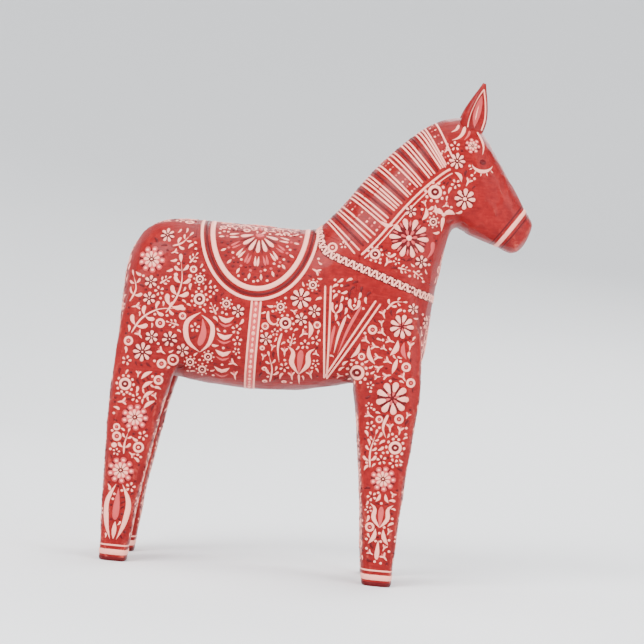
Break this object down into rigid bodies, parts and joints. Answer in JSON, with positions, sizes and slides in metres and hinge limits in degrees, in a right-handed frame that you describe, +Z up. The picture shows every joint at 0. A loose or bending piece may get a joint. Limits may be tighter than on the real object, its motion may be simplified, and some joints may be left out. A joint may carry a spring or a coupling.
{
  "type": "dala horse",
  "caption": "Standing carved wooden dala horse glued up from boards on hidden dowels, painted red with pale folk flowers, saddle and harness; rests on flat hoof soles.",
  "frame": {"origin": "on the floor, under the middle of the horse's box", "axes": "+X is where the horse looks, +Y is its left side, +Z is up"},
  "size_m": [0.3171, 0.1116, 0.4],
  "materials": {
    "painted_wood": "warm red paint with cream and pale pink brush-painted flowers, under a thin satin varnish",
    "bare_wood": "bare turned birch"
  },
  "bodies": {
    "root": {"trunk_core": "painted_wood", "neck_head_core": "painted_wood", "left_hind_leg_board": "painted_wood", "right_hind_leg_board": "painted_wood", "left_belly_board": "painted_wood", "right_belly_board": "painted_wood", "left_fore_leg_board": "painted_wood", "right_fore_leg_board": "painted_wood", "left_neck_cheek_board": "painted_wood", "right_neck_cheek_board": "painted_wood", "left_ear": "painted_wood", "right_ear": "painted_wood", "dowel_rump_upper": "bare_wood", "dowel_rump_lower": "bare_wood", "dowel_belly_rear": "bare_wood", "dowel_belly_front": "bare_wood", "dowel_shoulder_upper": "bare_wood", "dowel_shoulder_lower": "bare_wood", "dowel_neck_lap": "bare_wood", "dowel_neck_upper": "bare_wood", "dowel_core_rear": "bare_wood", "dowel_core_front": "bare_wood"}
  },
  "joints": []
}
